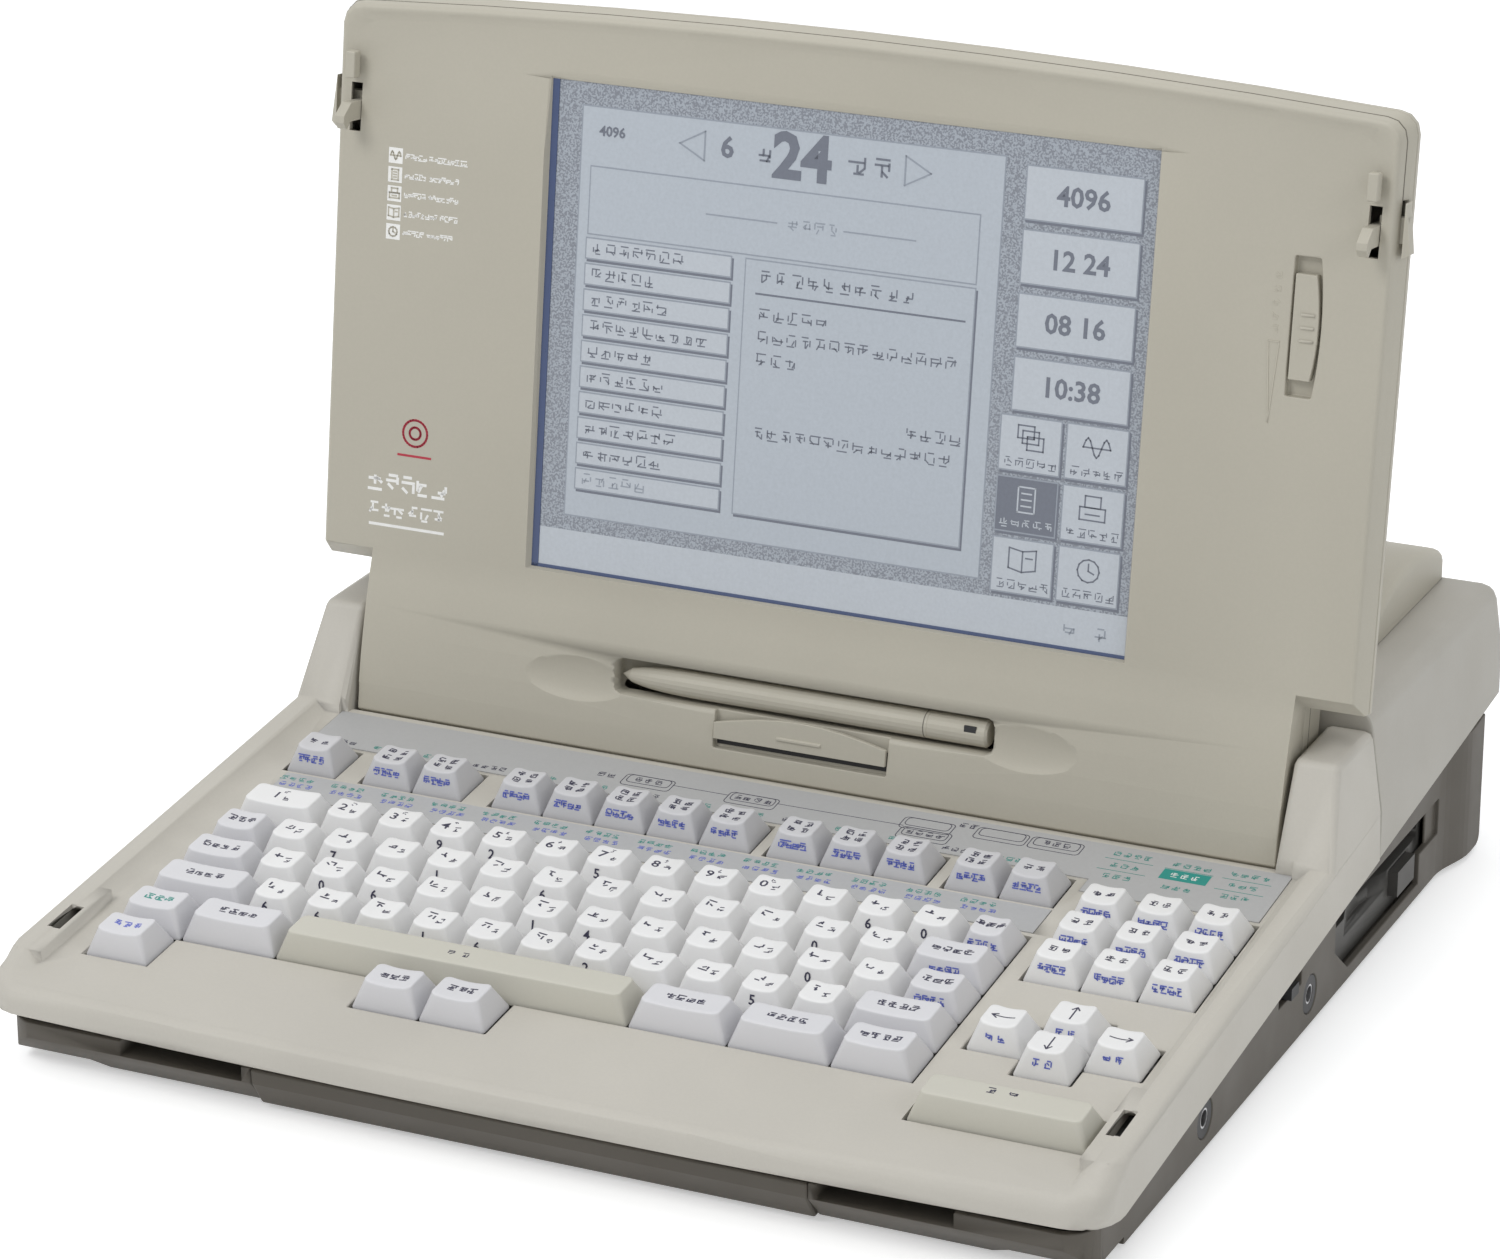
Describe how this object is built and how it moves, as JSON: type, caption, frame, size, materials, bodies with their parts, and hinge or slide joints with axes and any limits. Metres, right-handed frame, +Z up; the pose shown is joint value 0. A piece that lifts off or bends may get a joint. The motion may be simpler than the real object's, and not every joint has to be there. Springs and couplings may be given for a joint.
{
  "type": "electronic word processor",
  "caption": "Portable electronic word processor: keyboard base with built-in printer, hinged display lid with pen tray, carrying handle and sockets.",
  "frame": {"origin": "middle of the footprint on the surface the feet stand on", "axes": "+X to the user's right, +Y away from the user, +Z up"},
  "size_m": [0.3822, 0.3928, 0.2954],
  "materials": {
    "case_plastic": "fine moulded texture",
    "lid_plastic": "fine moulded texture, slightly greener",
    "lower_plastic": "fine moulded texture",
    "key_white": "satin key cap",
    "key_grey": "satin key cap",
    "key_beige": "satin key cap",
    "legend_grey": "satin strip",
    "glass": "clear touch glass",
    "panel": "blank screen",
    "steel": "plain sheet and bar",
    "board": "circuit board",
    "rubber": "plain",
    "dark_plastic": "plain",
    "gear_white": "plain"
  },
  "bodies": {
    "root": {"lower_case": "lower_plastic", "upper_case": "case_plastic", "rear_housing": "case_plastic", "legend_plate_upper": "legend_grey", "legend_plate_lower": "legend_grey", "keyboard_plate": "key_white", "main_board": "board", "power_supply": "steel", "floppy_drive": "dark_plastic", "speaker": "dark_plastic", "printer_frame": "steel", "printer_motor": "steel", "guide_shaft": "steel", "foot_front_left": "rubber", "foot_front_right": "rubber", "foot_rear_left": "rubber", "foot_rear_right": "rubber", "side_jack_front": "dark_plastic", "side_jack_rear": "dark_plastic", "power_inlet": "dark_plastic", "hinge_bracket_left": "steel", "hinge_bracket_right": "steel"},
    "lid": {"lid_bezel": "lid_plastic", "lid_back_cover": "lid_plastic", "lcd_panel": "panel", "touch_glass": "glass", "inverter_board": "board", "hinge_pin_left": "steel", "hinge_pin_right": "steel"},
    "contrast_slider": {"contrast_slider": "lid_plastic"},
    "latch_left": {"latch_left": "lid_plastic"},
    "latch_right": {"latch_right": "lid_plastic"},
    "stylus": {"stylus": "lid_plastic"},
    "pen_flap": {"pen_flap": "lid_plastic"},
    "front_handle": {"front_handle": "lower_plastic"},
    "printer_lid": {"printer_lid": "lid_plastic"},
    "carriage": {"print_carriage": "dark_plastic", "ribbon_cassette": "dark_plastic"},
    "platen": {"platen_roller": "rubber", "platen_gear": "gear_white"},
    "drive_gear": {"drive_gear": "gear_white"},
    "floppy_eject_button": {"floppy_eject_button": "key_grey"},
    "volume_slider": {"volume_slider": "dark_plastic"},
    "power_switch": {"power_switch": "dark_plastic"},
    "space_bar": {"space_bar": "key_beige"},
    "execute_bar": {"execute_bar": "key_beige"},
    "arrow_key_up": {"arrow_key_up": "key_white"},
    "arrow_key_down": {"arrow_key_down": "key_white"},
    "arrow_key_left": {"arrow_key_left": "key_white"},
    "arrow_key_right": {"arrow_key_right": "key_white"},
    "shift_key_left": {"shift_key_left": "key_grey"},
    "shift_key_right": {"shift_key_right": "key_grey"},
    "function_key": {"function_key": "key_grey"},
    "convert_key": {"convert_key": "key_grey"},
    "non_convert_key": {"non_convert_key": "key_grey"},
    "tab_key": {"tab_key": "key_grey"},
    "return_key": {"return_key": "key_grey"},
    "hiragana_key": {"hiragana_key": "key_grey"},
    "katakana_key": {"katakana_key": "key_grey"},
    "cancel_key": {"cancel_key": "key_grey"}
  },
  "joints": [
    {"name": "lid_hinge", "type": "hinge", "parent": "root", "child": "lid", "pos_m": [0, 0.03441, 0.068], "axis": [1, 0, 0], "range_deg": [-5, 102.8]},
    {"name": "contrast_slide", "type": "slide", "parent": "lid", "child": "contrast_slider", "axis": [0, 0.1305, 0.9914], "range_m": [-0.0042, 0.005]},
    {"name": "latch_slide_left", "type": "slide", "parent": "lid", "child": "latch_left", "axis": [0, 0.1305, 0.9914], "range_m": [0, 0.0045], "stiffness_N_per_m": 250, "springref_m": -0.002},
    {"name": "latch_slide_right", "type": "slide", "parent": "lid", "child": "latch_right", "axis": [0, 0.1305, 0.9914], "range_m": [0, 0.0045], "stiffness_N_per_m": 250, "springref_m": -0.002},
    {"name": "pen_pull", "type": "slide", "parent": "lid", "child": "stylus", "axis": [0, -0.9914, 0.1305], "range_m": [0, 0.04]},
    {"name": "pen_flap_hinge", "type": "hinge", "parent": "lid", "child": "pen_flap", "pos_m": [-0.001, 0.02118, 0.06097], "axis": [1, 0, 0], "range_deg": [0, 40]},
    {"name": "handle_slide", "type": "slide", "parent": "root", "child": "front_handle", "axis": [0, -1, 0], "range_m": [0, 0.038]},
    {"name": "printer_lid_hinge", "type": "hinge", "parent": "root", "child": "printer_lid", "pos_m": [0, 0.19341, 0.0916], "axis": [-1, 0, 0], "range_deg": [0, 95]},
    {"name": "carriage_slide", "type": "slide", "parent": "root", "child": "carriage", "axis": [1, 0, 0], "range_m": [-0.1, 0.1]},
    {"name": "platen_spin", "type": "hinge", "parent": "root", "child": "platen", "pos_m": [0, 0.15141, 0.057], "axis": [1, 0, 0], "continuous": true},
    {"name": "drive_gear_spin", "type": "hinge", "parent": "root", "child": "drive_gear", "pos_m": [0.152, 0.12716, 0.043], "axis": [1, 0, 0], "continuous": true},
    {"name": "eject_press", "type": "slide", "parent": "root", "child": "floppy_eject_button", "axis": [-1, 0, 0], "range_m": [0, 0.0035], "stiffness_N_per_m": 250, "springref_m": -0.001},
    {"name": "volume_slide", "type": "slide", "parent": "root", "child": "volume_slider", "axis": [0, 1, 0], "range_m": [-0.007, 0.007]},
    {"name": "power_switch_rock", "type": "hinge", "parent": "root", "child": "power_switch", "pos_m": [0.1656, 0.17341, 0.033], "axis": [1, 0, 0], "range_deg": [-8, 8]},
    {"name": "space_bar_press", "type": "slide", "parent": "root", "child": "space_bar", "axis": [0, 0.0924, -0.9957], "range_m": [0, 0.0034], "stiffness_N_per_m": 300, "springref_m": -0.001},
    {"name": "execute_bar_press", "type": "slide", "parent": "root", "child": "execute_bar", "axis": [0, 0.0924, -0.9957], "range_m": [0, 0.0034], "stiffness_N_per_m": 300, "springref_m": -0.001},
    {"name": "arrow_key_up_press", "type": "slide", "parent": "root", "child": "arrow_key_up", "axis": [0, 0.0924, -0.9957], "range_m": [0, 0.0034], "stiffness_N_per_m": 300, "springref_m": -0.001},
    {"name": "arrow_key_down_press", "type": "slide", "parent": "root", "child": "arrow_key_down", "axis": [0, 0.0924, -0.9957], "range_m": [0, 0.0034], "stiffness_N_per_m": 300, "springref_m": -0.001},
    {"name": "arrow_key_left_press", "type": "slide", "parent": "root", "child": "arrow_key_left", "axis": [0, 0.0924, -0.9957], "range_m": [0, 0.0034], "stiffness_N_per_m": 300, "springref_m": -0.001},
    {"name": "arrow_key_right_press", "type": "slide", "parent": "root", "child": "arrow_key_right", "axis": [0, 0.0924, -0.9957], "range_m": [0, 0.0034], "stiffness_N_per_m": 300, "springref_m": -0.001},
    {"name": "shift_key_left_press", "type": "slide", "parent": "root", "child": "shift_key_left", "axis": [0, 0.0924, -0.9957], "range_m": [0, 0.0034], "stiffness_N_per_m": 300, "springref_m": -0.001},
    {"name": "shift_key_right_press", "type": "slide", "parent": "root", "child": "shift_key_right", "axis": [0, 0.0924, -0.9957], "range_m": [0, 0.0034], "stiffness_N_per_m": 300, "springref_m": -0.001},
    {"name": "function_key_press", "type": "slide", "parent": "root", "child": "function_key", "axis": [0, 0.0924, -0.9957], "range_m": [0, 0.0034], "stiffness_N_per_m": 300, "springref_m": -0.001},
    {"name": "convert_key_press", "type": "slide", "parent": "root", "child": "convert_key", "axis": [0, 0.0924, -0.9957], "range_m": [0, 0.0034], "stiffness_N_per_m": 300, "springref_m": -0.001},
    {"name": "non_convert_key_press", "type": "slide", "parent": "root", "child": "non_convert_key", "axis": [0, 0.0924, -0.9957], "range_m": [0, 0.0034], "stiffness_N_per_m": 300, "springref_m": -0.001},
    {"name": "tab_key_press", "type": "slide", "parent": "root", "child": "tab_key", "axis": [0, 0.0924, -0.9957], "range_m": [0, 0.0034], "stiffness_N_per_m": 300, "springref_m": -0.001},
    {"name": "return_key_press", "type": "slide", "parent": "root", "child": "return_key", "axis": [0, 0.0924, -0.9957], "range_m": [0, 0.0034], "stiffness_N_per_m": 300, "springref_m": -0.001},
    {"name": "hiragana_key_press", "type": "slide", "parent": "root", "child": "hiragana_key", "axis": [0, 0.0924, -0.9957], "range_m": [0, 0.0034], "stiffness_N_per_m": 300, "springref_m": -0.001},
    {"name": "katakana_key_press", "type": "slide", "parent": "root", "child": "katakana_key", "axis": [0, 0.0924, -0.9957], "range_m": [0, 0.0034], "stiffness_N_per_m": 300, "springref_m": -0.001},
    {"name": "cancel_key_press", "type": "slide", "parent": "root", "child": "cancel_key", "axis": [0, 0.0924, -0.9957], "range_m": [0, 0.0034], "stiffness_N_per_m": 300, "springref_m": -0.001}
  ],
  "couplings": [
    {"joint": "drive_gear_spin", "follows": "platen_spin", "ratio": -2.5}
  ]
}
